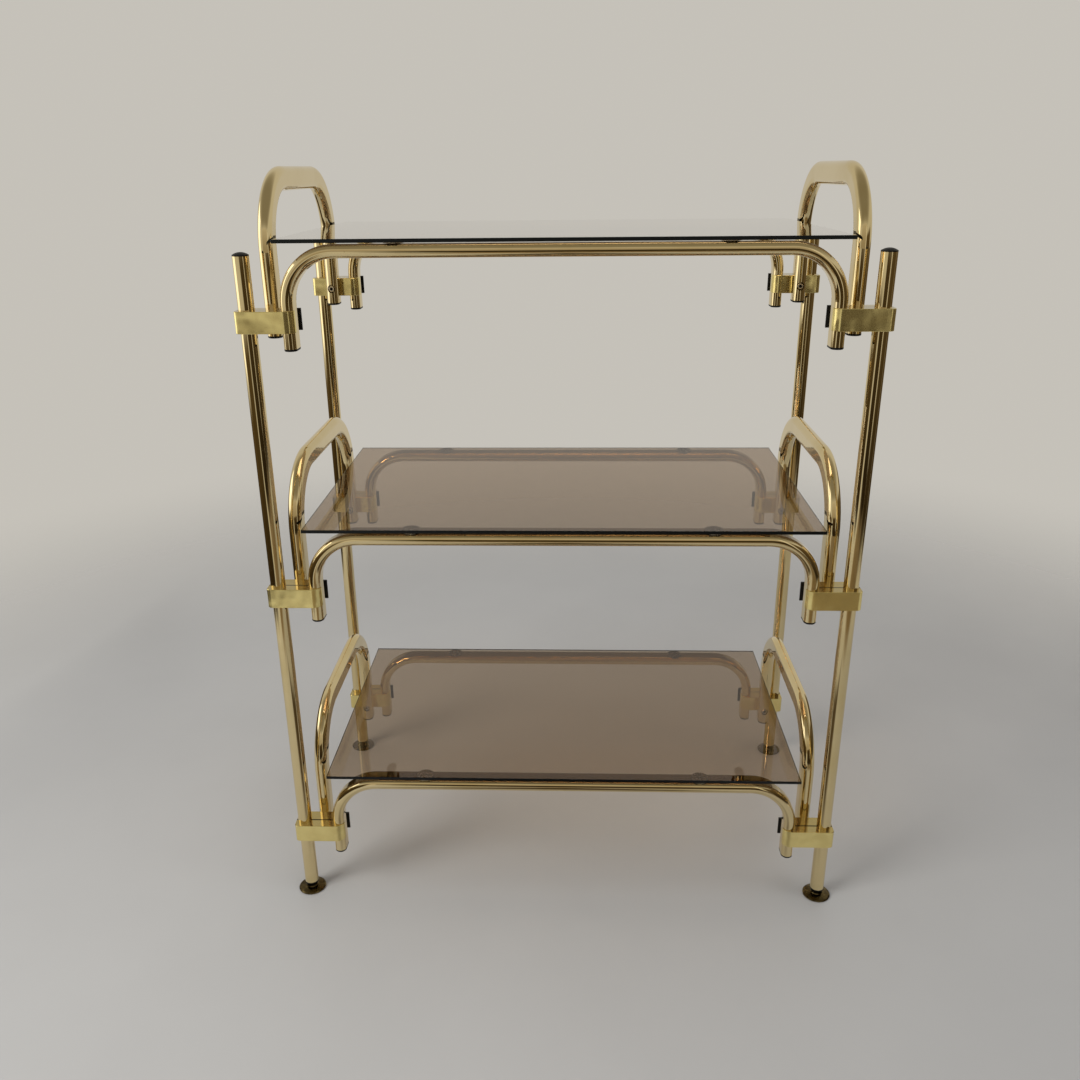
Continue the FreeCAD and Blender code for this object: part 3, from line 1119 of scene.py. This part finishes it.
@dataclass
class Studio:
    """Pale floor and backdrop, soft lamps and the panels that the metal mirrors."""

    floor_radius: float = 3.0
    floor_sides: int = 96
    floor_drop: float = 0.3 * MILLIMETRE
    backdrop: Colour = (0.560, 0.535, 0.485)
    daylight: Colour = (0.52, 0.52, 0.53)
    lamps: tuple[Softbox, ...] = (
        Softbox(
            "window_softbox", place=(-2.3, -1.7, 1.9), width=1.3, height=1.9, watts=92.0,
            tint=(1.0, 0.99, 0.97),
        ),
        Softbox(
            "side_softbox", place=(2.5, -0.9, 1.7), width=0.8, height=1.6, watts=5.0,
            tint=(1.0, 0.98, 0.95),
        ),
        Softbox("top_softbox", place=(0.2, -0.2, 3.2), width=2.2, height=2.0, watts=42.0),
    )
    panels: tuple[Panel, ...] = (
        Panel(
            "window_left", bearing=-86.0, distance=2.3, width=1.7, low=0.46, high=2.20,
            foot=(1.50, 1.46, 1.40), head=(2.00, 1.95, 1.86), softness=0.12,
        ),
        Panel(
            "door_front", bearing=33.0, distance=1.75, width=0.24, low=0.30, high=1.80,
            foot=(0.50, 0.47, 0.42), head=(0.80, 0.76, 0.70),
        ),
        Panel(
            "sofa_front", bearing=10.0, distance=1.9, width=2.2, low=0.02, high=1.00,
            foot=(0.010, 0.007, 0.004), head=(0.070, 0.047, 0.020),
        ),
        Panel(
            "sofa_front_left", bearing=-52.0, distance=1.45, width=1.45, low=0.0, high=0.84,
            foot=(0.014, 0.009, 0.004), head=(0.100, 0.068, 0.028),
        ),
        Panel(
            "chest_left", bearing=-102.0, distance=1.35, width=1.9, low=0.0, high=0.66,
            foot=(0.016, 0.011, 0.005), head=(0.100, 0.068, 0.030),
        ),
        Panel(
            "cupboard_right_front", bearing=60.0, distance=1.8, width=1.7, low=0.0, high=1.50,
            foot=(0.012, 0.008, 0.004), head=(0.130, 0.090, 0.040),
        ),
        Panel(
            "cupboard_right", bearing=104.0, distance=1.7, width=1.6, low=0.0, high=1.05,
            foot=(0.016, 0.011, 0.006), head=(0.120, 0.082, 0.038),
        ),
        Panel(
            "room_front", bearing=0.0, distance=2.8, width=5.2, low=0.75, high=2.70,
            foot=(0.31, 0.26, 0.185), head=(0.54, 0.49, 0.41),
        ),
        Ceiling(
            "ceiling", bearing=0.0, distance=0.8, width=6.4, low=2.6, high=2.6,
            foot=(0.24, 0.215, 0.165), head=(0.24, 0.215, 0.165), softness=0.75, deep=4.8,
        ),
    )

    def build(self) -> Iterator[str]:
        """Set up the whole studio.

        Returns:
            The names of what was added, one after another.
        """
        yield self.floor().name
        yield self.world().name
        for item in (*self.lamps, *self.panels):
            yield item.hang().name

    def floor(self) -> bpy.types.Object:
        """Lay the round floor.

        Returns:
            The floor.
        """
        shape = bmesh.new()
        bmesh.ops.create_circle(shape, cap_ends=True, segments=self.floor_sides, radius=self.floor_radius)
        bmesh.ops.translate(shape, verts=shape.verts, vec=(0.0, 0.0, -self.floor_drop))
        floor = new_piece("studio_floor", shape, FloorPaint("floor_paint").material())
        return floor

    def world(self) -> bpy.types.World:
        """Set the backdrop for what is seen directly or in a surface, and the soft light for the rest.

        Returns:
            The world.
        """
        world = bpy.data.worlds.new("studio_backdrop")
        world.use_nodes = True
        graph = Graph(world.node_tree)
        seen = graph.ray(Ray.CAMERA).largest(graph.ray(Ray.GLOSSY)).largest(graph.ray(Ray.TRANSMISSION))
        tone = graph.mix(self.daylight, self.backdrop, seen)
        light = graph.add("ShaderNodeBackground", sockets={"Color": tone, "Strength": 1.0})
        graph.add("ShaderNodeOutputWorld", sockets={"Surface": light})
        bpy.context.scene.world = world
        return world


@dataclass(frozen=True)
class ViewCamera:
    """Camera in front of the piece, a little above its top shelf."""

    place: Triple = (0.0158, -1.5234, 1.1312)
    heading: float = -0.036
    dip: float = 0.366
    roll: float = 0.010
    focal_pixels: float = 970.4
    frame_pixels: float = 1080.0
    sensor: float = 36.0

    def mount(self) -> bpy.types.Object:
        """Add the camera and make it the scene's own.

        Returns:
            The camera.
        """
        lens = bpy.data.cameras.new("view_camera")
        lens.sensor_width = self.sensor
        lens.lens = self.focal_pixels * self.sensor / self.frame_pixels
        camera = bpy.data.objects.new("view_camera", lens)
        bpy.context.scene.collection.objects.link(camera)
        ahead = Vector((
            math.sin(self.heading) * math.cos(self.dip),
            math.cos(self.heading) * math.cos(self.dip),
            -math.sin(self.dip),
        ))
        level_right = ahead.cross(Vector((0.0, 0.0, 1.0))).normalized()
        level_down = ahead.cross(level_right)
        right = math.cos(self.roll) * level_right + math.sin(self.roll) * level_down
        down = math.cos(self.roll) * level_down - math.sin(self.roll) * level_right
        turn = Matrix((right, -down, -ahead)).transposed()
        camera.matrix_world = Matrix.Translation(self.place) @ turn.to_4x4()
        bpy.context.scene.camera = camera
        return camera


def main() -> None:
    """Dress the piece, then build the studio and the camera, and report each step."""
    logging.basicConfig(level=logging.INFO, format="%(name)s: %(message)s")
    bpy.context.scene.view_settings.view_transform = "Standard"
    palette = Palette()
    assemblies = [CornerPost(side, depth, palette) for depth in Depth for side in Side]
    assemblies += [Shelf(level, palette) for level in Level]
    assemblies += [
        Clamp(level, side, depth, palette) for level in Level for depth in Depth for side in Side
    ]
    assemblies.append(SmallParts(palette))
    for assembly in assemblies:
        for name in assembly.dress():
            LOG.info("dressed %s", name)
    for name in Studio().build():
        LOG.info("set up %s", name)
    LOG.info("mounted %s", ViewCamera().mount().name)


if __name__ == "__main__":
    main()
